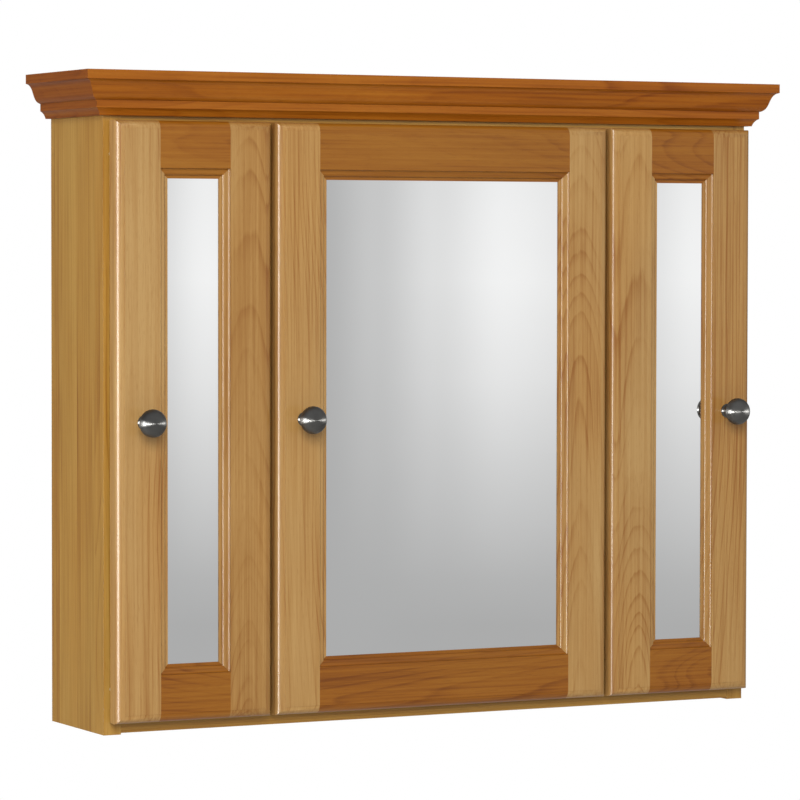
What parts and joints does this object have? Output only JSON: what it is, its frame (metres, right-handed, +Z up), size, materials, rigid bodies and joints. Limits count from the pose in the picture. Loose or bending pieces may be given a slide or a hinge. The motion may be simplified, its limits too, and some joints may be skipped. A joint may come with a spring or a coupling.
{
  "type": "medicine cabinet",
  "caption": "Wall-hung wooden medicine cabinet under a mitred crown moulding, with framed mirror doors on concealed hinges and shelves behind them.",
  "frame": {"origin": "centre of the four wall screws, in the plane of the wall", "axes": "+X to the right, +Y into the wall, +Z up; the doors face -Y"},
  "size_m": [0.8184, 0.1947, 0.6763],
  "materials": {
    "carcass_wood": "clear satin lacquer, vertical grain",
    "stile_wood": "clear satin lacquer, vertical grain",
    "rail_wood": "clear satin lacquer, horizontal grain",
    "crown_wood": "clear satin lacquer, horizontal grain",
    "shelf_wood": "clear satin lacquer",
    "back_board": "thin board, lightly lacquered",
    "mirror_glass": "silvered flat glass",
    "knob_metal": "dark satin nickel",
    "steel": "nickel-plated steel",
    "buffer": "clear soft plastic"
  },
  "bodies": {
    "cabinet": {"side_left": "carcass_wood", "side_right": "carcass_wood", "top_panel": "carcass_wood", "bottom_panel": "carcass_wood", "back_panel": "back_board", "lower_cleat": "carcass_wood", "upper_cleat": "carcass_wood", "partition_left": "carcass_wood", "partition_right": "carcass_wood", "crown_rail": "carcass_wood", "crown_front": "crown_wood", "crown_return_left": "crown_wood", "crown_return_right": "crown_wood", "shelf_left_lower": "shelf_wood", "shelf_left_upper": "shelf_wood", "shelf_centre_lower": "shelf_wood", "shelf_centre_upper": "shelf_wood", "shelf_right_lower": "shelf_wood", "shelf_right_upper": "shelf_wood", "shelf_pins": "steel", "hinge_arms": "steel", "hinge_plates": "steel", "hinge_screws": "steel", "door_buffers": "buffer"},
    "left_door": {"left_door_stile_left": "stile_wood", "left_door_stile_right": "stile_wood", "left_door_rail_top": "rail_wood", "left_door_rail_bottom": "rail_wood", "left_door_mirror": "mirror_glass", "left_door_backing": "back_board", "left_door_mirror_clips": "steel", "left_door_knob": "knob_metal", "left_door_knob_screw": "steel", "left_door_hinge_cups": "steel", "left_door_hinge_pins": "steel", "left_door_screws": "steel"},
    "centre_door": {"centre_door_stile_left": "stile_wood", "centre_door_stile_right": "stile_wood", "centre_door_rail_top": "rail_wood", "centre_door_rail_bottom": "rail_wood", "centre_door_mirror": "mirror_glass", "centre_door_backing": "back_board", "centre_door_mirror_clips": "steel", "centre_door_knob": "knob_metal", "centre_door_knob_screw": "steel", "centre_door_hinge_cups": "steel", "centre_door_hinge_pins": "steel", "centre_door_screws": "steel"},
    "right_door": {"right_door_stile_left": "stile_wood", "right_door_stile_right": "stile_wood", "right_door_rail_top": "rail_wood", "right_door_rail_bottom": "rail_wood", "right_door_mirror": "mirror_glass", "right_door_backing": "back_board", "right_door_mirror_clips": "steel", "right_door_knob": "knob_metal", "right_door_knob_screw": "steel", "right_door_hinge_cups": "steel", "right_door_hinge_pins": "steel", "right_door_screws": "steel"}
  },
  "joints": [
    {"name": "left_door_hinge", "type": "hinge", "parent": "cabinet", "child": "left_door", "pos_m": [-0.2101, -0.1537, 0], "axis": [0, 0, 1], "range_deg": [0, 100]},
    {"name": "centre_door_hinge", "type": "hinge", "parent": "cabinet", "child": "centre_door", "pos_m": [0.1877, -0.1537, 0], "axis": [0, 0, 1], "range_deg": [0, 83]},
    {"name": "right_door_hinge", "type": "hinge", "parent": "cabinet", "child": "right_door", "pos_m": [0.2101, -0.1537, 0], "axis": [0, 0, 1], "range_deg": [-83, 0]}
  ]
}
